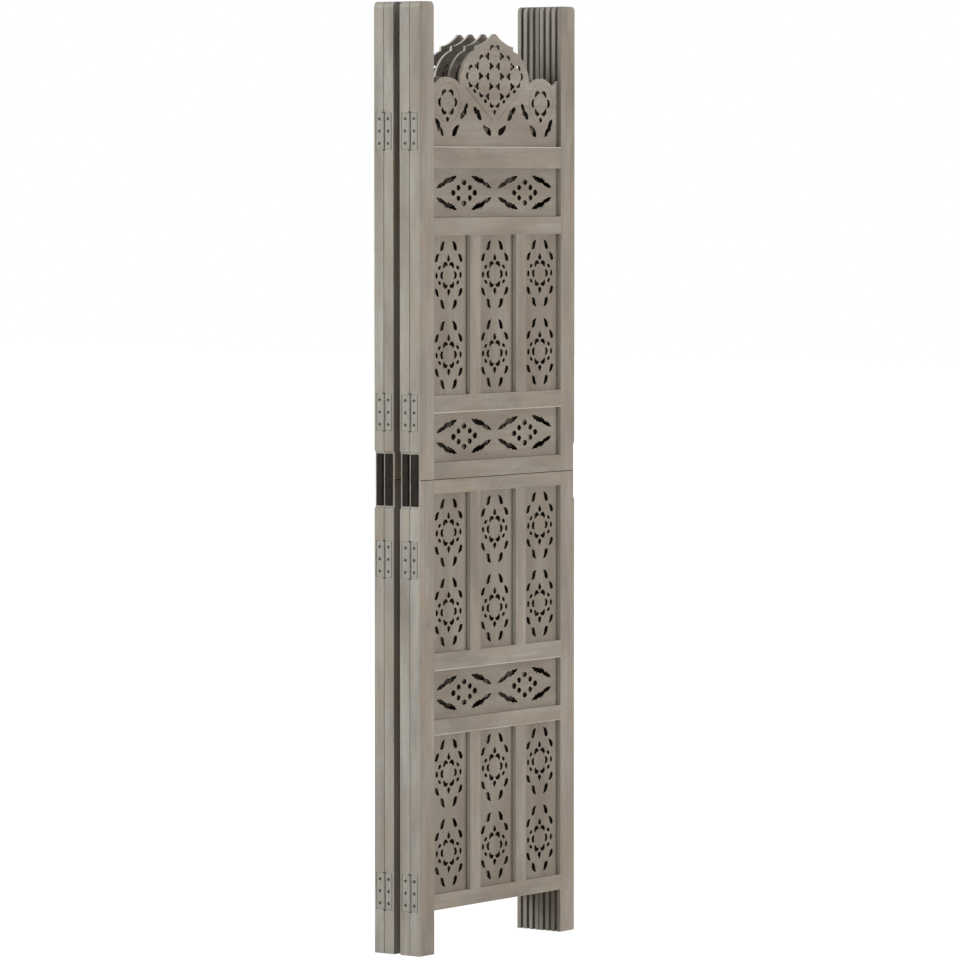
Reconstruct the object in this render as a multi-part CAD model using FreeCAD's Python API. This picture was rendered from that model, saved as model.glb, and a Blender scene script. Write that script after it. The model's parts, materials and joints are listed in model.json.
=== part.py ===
"""Carved folding screen: four grooved wooden frames with pierced boards, hinged in a zigzag.

Millimetres, +Z up. The front panel faces -Y and +X runs to the right along it. The origin is the
middle of the folded stack on the floor. Each panel is built in a frame of its own (X from the
middle of the panel, Y back from its front face, Z up from the floor) and is then hung on its pins.
"""
import FreeCAD, Part
import math
import os
from collections import namedtuple
from FreeCAD import Placement, Rotation, Vector

# Panel
PANEL_WIDTH = 508.0
PANEL_HEIGHT = 1829.0
PANEL_THICKNESS = 23.0

# Members of the frame, from the floor up
STILE_WIDTH = 46.5
MULLION_WIDTH = 33.0
STILE_TOP_RADIUS = 10.0
LEG_HEIGHT = 84.5
BOTTOM_RAIL_HEIGHT = 30.0
LOW_RAIL_HEIGHT = 30.0
MIDDLE_RAIL_HEIGHT = 34.0
LOWER_MEETING_RAIL_HEIGHT = 27.5
UPPER_MEETING_RAIL_HEIGHT = 32.5
TOP_RAIL_HEIGHT = 42.0
LATTICE_HEIGHT = 307.0
FRIEZE_HEIGHT = 94.5
CREST_HEIGHT = 218.0
LATTICE_COLUMNS = 3

# Grooves, and the boards and stub tenons that sit in them
BOARD_THICKNESS = 6.0
GROOVE_DEPTH = 8.0
GROOVE_PLAY = 0.2
TENON_END_PLAY = 0.5
BOARD_EDGE_PLAY = 0.8

# Butt hinges: two plates let in flush, five knuckles and a pin
TOP_HINGE_DROP = 247.0
UPPER_HINGE_RISE = 129.5
LOWER_HINGE_DROP = 153.0
BOTTOM_HINGE_RISE = 120.5
HINGE_HEIGHT = 70.0
HINGE_PLATE_WIDTH = 18.0
HINGE_PLATE_THICKNESS = 1.6
HINGE_CORNER_RADIUS = 3.0
KNUCKLE_RADIUS = 3.0
KNUCKLE_GAP = 0.3
KNUCKLE_COUNT = 5
PIN_RADIUS = 1.5
PIN_PLAY = 0.05
PIN_HEAD_RADIUS = 2.4
PIN_HEAD_HEIGHT = 1.5
PIN_STANDOFF = 0.5
FACE_GAP = 1.0
LET_IN_PLAY = 0.3
BED_PLAY = 1.2

# How far each pair of panels stands open, in degrees, from the front pair back
FOLD_ANGLES = (0.55, 1.6, 0.65)

# Steel plates that join the upper and lower half of each stile across its outer edge
REBATE_LENGTH = 112.0
REBATE_DEPTH = 3.5
JOINING_PLATE_LENGTH = 100.0
JOINING_PLATE_WIDTH = 13.5
JOINING_PLATE_THICKNESS = 2.5
JOINING_SCREW_PITCH = 24.0
JOINING_SCREW_SETBACK = 13.0

# Countersunk wood screws
SCREW_HEAD_RADIUS = 3.2
SCREW_HEAD_HEIGHT = 1.5
SCREW_SHANK_RADIUS = 1.6
SCREW_LENGTH = 15.0
SCREW_POINT_LENGTH = 3.0
SCREW_PLAY = 0.15
HINGE_SCREW_PITCH = 23.5
HINGE_SCREWS_PER_PLATE = 3

# Cutting tools run past the wood by this much
OVERRUN = 2.0
# Edges closer than this to a line lie on it
ON_LINE = 0.01

# Outlines of the pierced shapes, as shares of their own length and width. Corners alternate with
# a point on the curve that leads to the next corner, or None for a straight edge. The first axis
# points outwards from the middle of the motif, or to the thick end of a leaf.
LENS_SHARES = ((-0.5, 0), (0, 0.5), (0.5, 0), (0, -0.5))
BEAD_SHARES = (
    (-0.5, 0), (-0.33, 0.33), (0, 0.5), (0.33, 0.33),
    (0.5, 0), (0.33, -0.33), (0, -0.5), (-0.33, -0.33),
)
MOON_SHARES = ((-0.4, -0.5), (0.5, 0), (-0.4, 0.5), (-0.22, 0))
DROP_SHARES = ((0.5, 0), (0.22, 0.24), (-0.08, 0.5), (-0.5, 0), (-0.08, -0.5), (0.22, -0.24))
LEAF_SHARES = ((-0.5, 0.2), (0.12, 0.5), (0.5, -0.05), (0.36, -0.42), (0, -0.36), (-0.24, -0.06))
FEATHER_SHARES = (
    (-0.5, 0.0), (-0.27, 0.3), (-0.03, 0.2), (0.24, 0.5), (0.5, 0.15),
    (0.34, -0.16), (0.14, -0.3), (0.02, -0.5), (-0.16, -0.22), (-0.33, -0.36),
)
CUSP_REACH_SHARE = 0.5
CUSP_WIDTH_SHARE = 0.18
CUSP_WAIST_SHARE = 0.31

# Motif of a lattice board, one quarter of it: outline, length, width, place across, place up and
# angle. Lengths and places across are shares of half the opening's width, and places up are
# shares of half the height of one motif.
LATTICE_SHARES = (
    (MOON_SHARES, 0.19, 0.25, 0.362, 0.0, 0.0),
    (MOON_SHARES, 0.21, 0.245, 0.186, 0.254, 62.0),
    (DROP_SHARES, 0.24, 0.185, 0.0, 0.435, 90.0),
    (LENS_SHARES, 0.225, 0.13, 0.655, 0.0, 90.0),
    (LENS_SHARES, 0.195, 0.12, 0.5, 0.189, -35.0),
    (LEAF_SHARES, 0.35, 0.185, 0.632, 0.432, -38.0),
    (LEAF_SHARES, 0.4, 0.205, 0.322, 0.732, -42.0),
)
# Motif of a frieze board, in shares of half its width and of half the opening's height
FRIEZE_SHARES = (
    (BEAD_SHARES, 0.118, 0.094, 0.0, 0.423, 0.0),
    (BEAD_SHARES, 0.11, 0.105, 0.335, 0.0, 0.0),
    (BEAD_SHARES, 0.098, 0.098, 0.178, 0.214, 0.0),
    (FEATHER_SHARES, 0.67, 0.15, 0.541, 0.466, 157.6),
)
FRIEZE_MOTIF_SHARE = 0.957

# Crest board, in shares of half the opening's width and of the crest's height
CREST_OUTLINE_SHARES = (
    (0.0, 1.0), (0.03, 0.995), (0.05, 0.979), (0.154, 0.921), (0.289, 0.89), None, (0.296, 0.849),
    (0.463, 0.755), (0.546, 0.59), None, (0.546, 0.55), (0.627, 0.594), (0.732, 0.612),
    (0.828, 0.598), (0.903, 0.553), (0.955, 0.563), (1.0, 0.592), None,
)
FLOWER_CENTRE_SHARE = 0.624
FLOWER_COLUMN_SHARE = 0.165
FLOWER_ROW_SHARE = 0.0895
FLOWER_REACH = 2
CUSP_SIZE_SHARE = 0.073
RIM_MOON_SHARES = (0.045, 0.068)
RIM_PULL_SHARE = 0.13
# Single holes: outline, length, width, place across, place up and angle
CREST_HOLE_SHARES = (
    (LENS_SHARES, 0.056, 0.034, 0.311, 0.491, 28.0),
    (LENS_SHARES, 0.05, 0.035, 0.146, 0.401, 20.0),
    (DROP_SHARES, 0.052, 0.046, 0.0, 0.302, -90.0),
)
# Ring of moons on each side lobe, about its middle
LOBE_CENTRE_SHARES = (0.732, 0.388)
LOBE_HOLE_SHARES = (
    (MOON_SHARES, 0.05, 0.086, 0.059, 0.088, 57.0),
    (MOON_SHARES, 0.055, 0.08, 0.122, 0.0, 0.0),
    (MOON_SHARES, 0.058, 0.078, 0.059, -0.081, -56.0),
    (BEAD_SHARES, 0.052, 0.05, 0.0, -0.147, 0.0),
)
# Leaves: outline, width, then thin end across and up, thick end across and up
CREST_LEAF_SHARES = (
    (FEATHER_SHARES, 0.072, 0.793, 0.092, 0.931, 0.243),
    (LEAF_SHARES, 0.068, 0.541, 0.179, 0.667, 0.099),
    (FEATHER_SHARES, 0.072, 0.425, 0.385, 0.519, 0.234),
    (FEATHER_SHARES, 0.08, 0.331, 0.344, 0.198, 0.245),
    (LEAF_SHARES, 0.07, 0.172, 0.206, 0.063, 0.095),
)

# Counts and sizes that follow from those above
PANEL_COUNT = len(FOLD_ANGLES) + 1
HALF_WIDTH = PANEL_WIDTH / 2
OPENING_HALF = HALF_WIDTH - STILE_WIDTH
LATTICE_WIDTH = (2 * OPENING_HALF - (LATTICE_COLUMNS - 1) * MULLION_WIDTH) / LATTICE_COLUMNS
TONGUE = GROOVE_DEPTH - BOARD_EDGE_PLAY
TENON_LENGTH = GROOVE_DEPTH - TENON_END_PLAY
BOARD_FRONT = (PANEL_THICKNESS - BOARD_THICKNESS) / 2
BOARD_BACK = BOARD_FRONT + BOARD_THICKNESS
GROOVE_SIDES = (BOARD_FRONT - GROOVE_PLAY, BOARD_BACK + GROOVE_PLAY)

Hinge = namedtuple("Hinge", "side into pin_x pin_y own_knuckles")


def block(x_ends, y_ends, z_ends):
    """A box between two values on each axis, given in either order."""
    low = Vector(min(x_ends), min(y_ends), min(z_ends))
    size = Vector(max(x_ends), max(y_ends), max(z_ends)) - low
    return Part.makeBox(size.x, size.y, size.z, low)


def closed_wire(points):
    """A closed wire through corners that alternate with a point on the curve after each."""
    edges = []
    for index in range(0, len(points), 2):
        start, middle = points[index:index + 2]
        end = points[(index + 2) % len(points)]
        if middle is None:
            edges.append(Part.LineSegment(start, end).toShape())
        else:
            edges.append(Part.Arc(start, middle, end).toShape())
    return Part.Wire(edges)


def prism(points, thickness):
    """The solid under a closed wire, from its plane back along +Y."""
    return Part.Face(closed_wire(points)).extrude(Vector(0, thickness, 0))


def stacked(start, courses):
    """Heights of the courses of one half of a panel: kind, lower edge and upper edge."""
    spans = []
    for kind, height in courses:
        spans.append((kind, start, start + height))
        start += height
    return spans


LOWER_COURSES = stacked(LEG_HEIGHT, (
    ("rail", BOTTOM_RAIL_HEIGHT),
    ("lattice", LATTICE_HEIGHT),
    ("rail", LOW_RAIL_HEIGHT),
    ("frieze", FRIEZE_HEIGHT),
    ("rail", MIDDLE_RAIL_HEIGHT),
    ("lattice", LATTICE_HEIGHT),
    ("rail", LOWER_MEETING_RAIL_HEIGHT),
))
MEETING_HEIGHT = LOWER_COURSES[-1][2]
UPPER_COURSES = stacked(MEETING_HEIGHT, (
    ("rail", UPPER_MEETING_RAIL_HEIGHT),
    ("frieze", FRIEZE_HEIGHT),
    ("rail", MIDDLE_RAIL_HEIGHT),
    ("lattice", LATTICE_HEIGHT),
    ("rail", MIDDLE_RAIL_HEIGHT),
    ("frieze", FRIEZE_HEIGHT),
    ("rail", TOP_RAIL_HEIGHT),
))
CREST_FOOT = UPPER_COURSES[-1][2]
HINGE_HEIGHTS = (
    BOTTOM_HINGE_RISE,
    MEETING_HEIGHT - LOWER_HINGE_DROP,
    MEETING_HEIGHT + UPPER_HINGE_RISE,
    PANEL_HEIGHT - TOP_HINGE_DROP,
)


def panel_hinges(panel):
    """The hinge lines of one panel: on its front face to the panel before, on its back to the next."""
    hinges = []
    for line, into, first_knuckle in ((panel - 1, 1, 1), (panel, -1, 0)):
        if 0 <= line < PANEL_COUNT - 1:
            side = 1 if line % 2 else -1
            pin_x = side * (HALF_WIDTH + PIN_STANDOFF)
            pin_y = -FACE_GAP / 2 if into > 0 else PANEL_THICKNESS + FACE_GAP / 2
            hinges.append(Hinge(side, into, pin_x, pin_y, range(first_knuckle, KNUCKLE_COUNT, 2)))
    return hinges


def at_hinge(hinge, out_ends, in_ends, z_ends):
    """A box placed from a pin: outwards from the panel's edge, and into its thickness."""
    x_ends = [hinge.pin_x + hinge.side * value for value in out_ends]
    y_ends = [hinge.pin_y + hinge.into * value for value in in_ends]
    return block(x_ends, y_ends, z_ends)


def screw(play=0):
    """A countersunk screw that points down from the origin or, with play, the tool for its hole."""
    head = OVERRUN if play else 0
    profile = (
        Vector(0, 0, head),
        Vector(SCREW_HEAD_RADIUS + play, 0, head),
        Vector(SCREW_HEAD_RADIUS + play, 0, 0),
        Vector(SCREW_SHANK_RADIUS + play, 0, -SCREW_HEAD_HEIGHT),
        Vector(SCREW_SHANK_RADIUS + play, 0, SCREW_POINT_LENGTH - SCREW_LENGTH - play),
        Vector(0, 0, -SCREW_LENGTH - play),
    )
    corners = profile if play else profile[:1] + profile[2:]
    face = Part.Face(Part.makePolygon(corners + profile[:1]))
    return face.revolve(Vector(0, 0, 0), Vector(0, 0, 1), 360)


SCREW = screw()
SCREW_TOOL = screw(SCREW_PLAY)


def driven(tool, side, place):
    """A screw, or its tool, turned to point into the edge of the panel on one side."""
    placed = tool.copy()
    placed.Placement = Placement(place, Rotation(Vector(0, 0, -1), Vector(-side, 0, 0)))
    return placed


def hinge_screws(hinge, height, tool):
    """The column of screws, or of their tools, of one hinge plate."""
    screws = []
    for row in range(HINGE_SCREWS_PER_PLATE):
        rise = (row - (HINGE_SCREWS_PER_PLATE - 1) / 2) * HINGE_SCREW_PITCH
        middle = (KNUCKLE_RADIUS + HINGE_PLATE_WIDTH) / 2
        place = Vector(hinge.side * HALF_WIDTH, hinge.pin_y + hinge.into * middle, height + rise)
        screws.append(driven(tool, hinge.side, place))
    return screws


def joining_screws(side, tool):
    """The four screws, or their tools, of one joining plate."""
    face = HALF_WIDTH - REBATE_DEPTH + JOINING_PLATE_THICKNESS
    screws = []
    for end in (-1, 1):
        for step in range(2):
            rise = end * (JOINING_SCREW_SETBACK + step * JOINING_SCREW_PITCH)
            place = Vector(side * face, PANEL_THICKNESS / 2, MEETING_HEIGHT + rise)
            screws.append(driven(tool, side, place))
    return screws


def knuckle_span(index, height):
    """Lower and upper end of one knuckle of a hinge."""
    pitch = (HINGE_HEIGHT + KNUCKLE_GAP) / KNUCKLE_COUNT
    low = height - HINGE_HEIGHT / 2 + index * pitch
    return low, low + pitch - KNUCKLE_GAP


def hinge_plate(hinge, height):
    """One plate of a butt hinge with its own knuckles, cut back round those of the other plate."""
    axis = Vector(hinge.pin_x, hinge.pin_y, 0)
    up = Vector(0, 0, 1)
    ends = (height - HINGE_HEIGHT / 2, height + HINGE_HEIGHT / 2)
    plate_face = -PIN_STANDOFF
    plate_back = plate_face - HINGE_PLATE_THICKNESS
    plate = at_hinge(hinge, (plate_back, plate_face), (0, HINGE_PLATE_WIDTH), ends)
    far_edge = hinge.pin_y + hinge.into * HINGE_PLATE_WIDTH
    corners = [
        edge for edge in plate.Edges
        if edge.BoundBox.XLength > ON_LINE and abs(edge.BoundBox.Center.y - far_edge) < ON_LINE
    ]
    plate = plate.makeFillet(HINGE_CORNER_RADIUS, corners)
    barrels = []
    recesses = []
    for index in range(KNUCKLE_COUNT):
        low, high = knuckle_span(index, height)
        if index in hinge.own_knuckles:
            barrels.append(Part.makeCylinder(KNUCKLE_RADIUS, high - low, axis + up * low, up))
        else:
            length = high - low + 2 * KNUCKLE_GAP
            foot = axis + up * (low - KNUCKLE_GAP)
            recesses.append(Part.makeCylinder(KNUCKLE_RADIUS + KNUCKLE_GAP, length, foot, up))
    bore_foot = axis + up * (ends[0] - OVERRUN)
    bore = Part.makeCylinder(PIN_RADIUS + PIN_PLAY, HINGE_HEIGHT + 2 * OVERRUN, bore_foot, up)
    solid = plate.cut(recesses).fuse(barrels).cut([bore] + hinge_screws(hinge, height, SCREW_TOOL))
    return solid.removeSplitter()


def hinge_pin(hinge, height):
    """A pin with a button head at each end, which hold the knuckles together."""
    low = height - HINGE_HEIGHT / 2 - KNUCKLE_GAP
    length = HINGE_HEIGHT + 2 * KNUCKLE_GAP
    up = Vector(0, 0, 1)
    foot = Vector(hinge.pin_x, hinge.pin_y, low)
    rod = Part.makeCylinder(PIN_RADIUS, length, foot, up)
    lower_head = Part.makeCylinder(PIN_HEAD_RADIUS, PIN_HEAD_HEIGHT, foot, -up)
    upper_head = Part.makeCylinder(PIN_HEAD_RADIUS, PIN_HEAD_HEIGHT, foot + up * length, up)
    return rod.fuse([lower_head, upper_head]).removeSplitter()


def let_in(hinge, height):
    """Tools that let a hinge plate into the stile's edge and clear the barrel at its corner."""
    reach = HINGE_HEIGHT / 2 + LET_IN_PLAY
    ends = (height - reach, height + reach)
    barrel_room = KNUCKLE_RADIUS + LET_IN_PLAY
    head_reach = reach + PIN_HEAD_HEIGHT + LET_IN_PLAY
    head_ends = (height - head_reach, height + head_reach)
    plate_back = -PIN_STANDOFF - HINGE_PLATE_THICKNESS
    plate_room = at_hinge(hinge, (plate_back, OVERRUN), (0, HINGE_PLATE_WIDTH + BED_PLAY), ends)
    return [plate_room, at_hinge(hinge, (-barrel_room, OVERRUN), (0, barrel_room), head_ends)]


def rebate(side):
    """The sloped-ended tool that makes room for a joining plate across a stile's outer edge."""
    edge = side * HALF_WIDTH
    floor = edge - side * REBATE_DEPTH
    outside = edge + side * OVERRUN
    half = REBATE_LENGTH / 2
    profile = ((outside, half + OVERRUN), (floor, half - REBATE_DEPTH))
    upper = [Vector(x, -OVERRUN, MEETING_HEIGHT + z) for x, z in profile]
    lower = [Vector(x, -OVERRUN, MEETING_HEIGHT - z) for x, z in reversed(profile)]
    points = []
    for corner in upper + lower:
        points += [corner, None]
    return prism(points, PANEL_THICKNESS + 2 * OVERRUN)


def joining_plate(side):
    """A flat steel plate on the floor of the rebate, over the meeting of the two stiles."""
    back = side * (HALF_WIDTH - REBATE_DEPTH)
    face = back + side * JOINING_PLATE_THICKNESS
    y_middle = PANEL_THICKNESS / 2
    y_ends = (y_middle - JOINING_PLATE_WIDTH / 2, y_middle + JOINING_PLATE_WIDTH / 2)
    z_ends = (MEETING_HEIGHT - JOINING_PLATE_LENGTH / 2, MEETING_HEIGHT + JOINING_PLATE_LENGTH / 2)
    return block((back, face), y_ends, z_ends).cut(joining_screws(side, SCREW_TOOL))


def stile(side, z_ends, hinges, rounded_top):
    """An upright: grooved inside, with rebate, hinge recesses and screw holes in its outer edge."""
    outer = side * HALF_WIDTH
    inner = side * OPENING_HALF
    wood = block((outer, inner), (0, PANEL_THICKNESS), z_ends)
    if rounded_top:
        top_edges = [
            edge for edge in wood.Edges
            if edge.BoundBox.ZMin > z_ends[1] - ON_LINE and edge.BoundBox.YLength > ON_LINE
        ]
        wood = wood.makeFillet(STILE_TOP_RADIUS, top_edges)
    groove_ends = (z_ends[0] - OVERRUN, z_ends[1] + OVERRUN)
    groove_floor = inner + side * GROOVE_DEPTH
    tools = [block((inner - side * OVERRUN, groove_floor), GROOVE_SIDES, groove_ends), rebate(side)]
    tools += joining_screws(side, SCREW_TOOL)
    for hinge in hinges:
        for height in HINGE_HEIGHTS:
            if hinge.side == side and z_ends[0] < height < z_ends[1]:
                tools += let_in(hinge, height) + hinge_screws(hinge, height, SCREW_TOOL)
    return wood.cut(tools)


def rail(low, high, grooved_edges):
    """A cross member with a stub tenon at each end, grooved along the edges that hold boards."""
    reach = OPENING_HALF + TENON_LENGTH
    wood = block((-reach, reach), (0, PANEL_THICKNESS), (low, high))
    z_ends = (low - OVERRUN, high + OVERRUN)
    x_ends = (-reach - OVERRUN, reach + OVERRUN)
    tools = []
    for side in (-1, 1):
        tenon_ends = (side * OPENING_HALF, side * (reach + OVERRUN))
        tools.append(block(tenon_ends, (-OVERRUN, BOARD_FRONT), z_ends))
        tools.append(block(tenon_ends, (BOARD_BACK, PANEL_THICKNESS + OVERRUN), z_ends))
    for edge, inwards in grooved_edges:
        tools.append(block(x_ends, GROOVE_SIDES, (edge - inwards * OVERRUN, edge + inwards * GROOVE_DEPTH)))
    return wood.cut(tools)


def rails(courses, crowned):
    """The rails of one half of a panel. The top edge of a crowned half holds the crest."""
    solids = []
    for index, (kind, low, high) in enumerate(courses):
        if kind == "rail":
            edges = []
            if index > 0:
                edges.append((low, 1))
            if crowned or index < len(courses) - 1:
                edges.append((high, -1))
            solids.append(rail(low, high, edges))
    return solids


def mullion(x, low, high):
    """An upright between two lattice boards, grooved on both sides, with tenons in the rails."""
    half = MULLION_WIDTH / 2
    z_ends = (low - TENON_LENGTH, high + TENON_LENGTH)
    x_ends = (x - half - OVERRUN, x + half + OVERRUN)
    wood = block((x - half, x + half), (0, PANEL_THICKNESS), z_ends)
    tools = []
    for shoulder, end in ((low, z_ends[0] - OVERRUN), (high, z_ends[1] + OVERRUN)):
        tools.append(block(x_ends, (-OVERRUN, BOARD_FRONT), (shoulder, end)))
        tools.append(block(x_ends, (BOARD_BACK, PANEL_THICKNESS + OVERRUN), (shoulder, end)))
    groove_ends = (z_ends[0] - OVERRUN, z_ends[1] + OVERRUN)
    for side in (-1, 1):
        floor = x + side * (half - GROOVE_DEPTH)
        tools.append(block((x + side * (half + OVERRUN), floor), GROOVE_SIDES, groove_ends))
    return wood.cut(tools)


def lattice_centres():
    """Middles of the lattice openings across a panel."""
    pitch = LATTICE_WIDTH + MULLION_WIDTH
    return [(column - (LATTICE_COLUMNS - 1) / 2) * pitch for column in range(LATTICE_COLUMNS)]


def pierced(shares, length, width, place, angle, centre, across=1, up=1):
    """The wire of one hole: an outline at its size, turned, put in its place and mirrored."""
    turn = Rotation(Vector(0, -1, 0), angle)
    points = []
    for share in shares:
        if share is None:
            points.append(None)
            continue
        point = place + turn.multVec(Vector(share[0] * length, 0, share[1] * width))
        points.append(centre + Vector(across * point.x, 0, up * point.z))
    return closed_wire(points)


def mirrored_holes(rows, unit, centre, ups):
    """Wires for a table of holes. A row off a middle line is repeated on the other side of it."""
    wires = []
    for shares, length, width, x_share, z_share, angle in rows:
        place = Vector(x_share * unit.x, 0, z_share * unit.z)
        size = (length * unit.x, width * unit.x)
        for across in ((1, -1) if x_share else (1,)):
            for up in (ups if z_share else (1,)):
                wires.append(pierced(shares, *size, place, angle, centre, across, up))
    return wires


def board(outline, holes):
    """A thin board with holes through it, at its depth in the panel."""
    face = Part.makeFace([outline] + holes, "Part::FaceMakerBullseye")
    solid = face.extrude(Vector(0, BOARD_THICKNESS, 0))
    solid.translate(Vector(0, BOARD_FRONT, 0))
    return solid


def rectangle(half_width, half_height):
    """A rectangle about the origin of the XZ plane."""
    points = []
    for x, z in ((-1, -1), (1, -1), (1, 1), (-1, 1)):
        points += [Vector(x * half_width, 0, z * half_height), None]
    return closed_wire(points)


def lattice_board():
    """A tall board with two pierced rosettes, about the middle of its opening."""
    unit = Vector(LATTICE_WIDTH / 2, 0, LATTICE_HEIGHT / 4)
    holes = []
    for up in (-1, 1):
        holes += mirrored_holes(LATTICE_SHARES, unit, Vector(0, 0, up * unit.z), (1, -1))
    return board(rectangle(unit.x + TONGUE, LATTICE_HEIGHT / 2 + TONGUE), holes)


def frieze_board():
    """A wide board with two pierced lozenges, about the middle of its opening."""
    unit = Vector(OPENING_HALF / 2, 0, FRIEZE_HEIGHT / 2)
    holes = []
    for across in (-1, 1):
        centre = Vector(across * FRIEZE_MOTIF_SHARE * unit.x, 0, 0)
        holes += mirrored_holes(FRIEZE_SHARES, unit, centre, (1, -1))
    return board(rectangle(OPENING_HALF + TONGUE, unit.z + TONGUE), holes)


def cusped_triangle():
    """Outline of the gap between three round flowers, as shares of its size."""
    shares = []
    for turn in range(3):
        angle = math.radians(120 * turn)
        for width in (-CUSP_WIDTH_SHARE, CUSP_WIDTH_SHARE):
            across = CUSP_REACH_SHARE * math.cos(angle) - width * math.sin(angle)
            up = CUSP_REACH_SHARE * math.sin(angle) + width * math.cos(angle)
            shares += [(across, up), None]
        waist = angle + math.radians(60)
        shares[-1] = (CUSP_WAIST_SHARE * math.cos(waist), CUSP_WAIST_SHARE * math.sin(waist))
    return shares


def flower_holes(unit):
    """Holes where a diamond of nine packed flowers meet, and slits along its rim."""
    meetings = {}
    for column in range(-FLOWER_REACH, FLOWER_REACH + 1):
        span = FLOWER_REACH - abs(column)
        for row in range(-span, span + 1, 2):
            for across, up in ((2, 0), (-2, 0), (1, 1), (1, -1), (-1, 1), (-1, -1)):
                meeting = (3 * column + across, row + up)
                meetings.setdefault(meeting, []).append((across, up))
    step = Vector(FLOWER_COLUMN_SHARE * unit.x / 3, 0, FLOWER_ROW_SHARE * unit.z)
    centre = Vector(0, 0, FLOWER_CENTRE_SHARE * unit.z)
    cusp_shares = cusped_triangle()
    cusp_size = CUSP_SIZE_SHARE * unit.x
    moon_length, moon_width = [share * unit.x for share in RIM_MOON_SHARES]
    wires = []
    for (column, row), ways in meetings.items():
        place = Vector(column * step.x, 0, row * step.z)
        away = Vector(ways[0][0] * step.x, 0, ways[0][1] * step.z)
        angle = math.degrees(math.atan2(away.z, away.x))
        if len(ways) > 1:
            wires.append(pierced(cusp_shares, cusp_size, cusp_size, place, angle, centre))
        else:
            place = place - away * RIM_PULL_SHARE
            wires.append(pierced(MOON_SHARES, moon_length, moon_width, place, angle, centre))
    return wires


def crest_leaves(unit):
    """Long leaves that border the three lobes of the crest, on both sides."""
    wires = []
    for shares, width, thin_x, thin_z, thick_x, thick_z in CREST_LEAF_SHARES:
        thin = Vector(thin_x * unit.x, 0, thin_z * unit.z)
        thick = Vector(thick_x * unit.x, 0, thick_z * unit.z)
        along = thick - thin
        angle = math.degrees(math.atan2(along.z, along.x))
        for across in (1, -1):
            size = (along.Length, width * unit.x)
            wires.append(pierced(shares, *size, (thin + thick) / 2, angle, Vector(), across))
    return wires


def crest_board():
    """The board that crowns a panel: an ogee between two small lobes, on the top rail."""
    unit = Vector(OPENING_HALF, 0, CREST_HEIGHT)
    right = []
    left = []
    for share in CREST_OUTLINE_SHARES:
        right.append(share and Vector(share[0] * unit.x, 0, share[1] * unit.z))
        left.insert(0, share and Vector(-share[0] * unit.x, 0, share[1] * unit.z))
    edge = OPENING_HALF + TONGUE
    shoulder = right[-2].z
    tongues = []
    for x, z in ((edge, shoulder), (edge, -TONGUE), (-edge, -TONGUE), (-edge, shoulder)):
        tongues += [Vector(x, 0, z), None]
    holes = flower_holes(unit) + crest_leaves(unit) + mirrored_holes(CREST_HOLE_SHARES, unit, Vector(), (1,))
    for side in (-1, 1):
        lobe = Vector(side * LOBE_CENTRE_SHARES[0] * unit.x, 0, LOBE_CENTRE_SHARES[1] * unit.z)
        holes += mirrored_holes(LOBE_HOLE_SHARES, unit, lobe, (1,))
    return board(closed_wire(right + tongues + left[1:-1]), holes)


def moved(solid, x, z):
    """A copy of a solid, moved across and up."""
    copy = solid.copy()
    copy.translate(Vector(x, 0, z))
    return copy


def frame_nodes():
    """The pieces that are alike in every panel."""
    lattice = lattice_board()
    frieze = frieze_board()
    centres = lattice_centres()
    mullion_pitch = LATTICE_WIDTH + MULLION_WIDTH
    mullions = []
    lattices = []
    friezes = []
    for kind, low, high in LOWER_COURSES + UPPER_COURSES:
        middle = (low + high) / 2
        if kind == "lattice":
            mullions += [mullion(x + mullion_pitch / 2, low, high) for x in centres[:-1]]
            lattices += [moved(lattice, x, middle) for x in centres]
        elif kind == "frieze":
            friezes.append(moved(frieze, 0, middle))
    return {
        "upper_rails": rails(UPPER_COURSES, True),
        "lower_rails": rails(LOWER_COURSES, False),
        "mullions": mullions,
        "lattice_boards": lattices,
        "frieze_boards": friezes,
        "crest_board": [moved(crest_board(), 0, CREST_FOOT)],
        "joining_plates": [joining_plate(side) for side in (-1, 1)],
        "joining_screws": joining_screws(-1, SCREW) + joining_screws(1, SCREW),
    }


def hinged_nodes(panel):
    """The pieces of a panel that depend on where its hinges are."""
    hinges = panel_hinges(panel)
    nodes = {"hinge_plates": [], "hinge_screws": []}
    for half, z_ends in (("lower", (0, MEETING_HEIGHT)), ("upper", (MEETING_HEIGHT, PANEL_HEIGHT))):
        for side, word in ((-1, "left"), (1, "right")):
            nodes[half + "_" + word + "_stile"] = [stile(side, z_ends, hinges, half == "upper")]
    for hinge in hinges:
        for height in HINGE_HEIGHTS:
            nodes["hinge_plates"].append(hinge_plate(hinge, height))
            nodes["hinge_screws"] += hinge_screws(hinge, height, SCREW)
    return nodes


def hung_panels():
    """Where each panel stands, turned about the pins that it shares with the panel before it."""
    placements = [Placement()]
    for line, angle in enumerate(FOLD_ANGLES):
        before = panel_hinges(line)[-1]
        after = panel_hinges(line + 1)[0]
        turn = Rotation(Vector(0, 0, 1), -before.side * angle)
        at_pin = Placement(Vector(before.pin_x, before.pin_y, 0), turn)
        from_pin = Placement(Vector(-after.pin_x, -after.pin_y, 0), Rotation())
        placements.append(placements[-1].multiply(at_pin).multiply(from_pin))
    return placements


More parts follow.
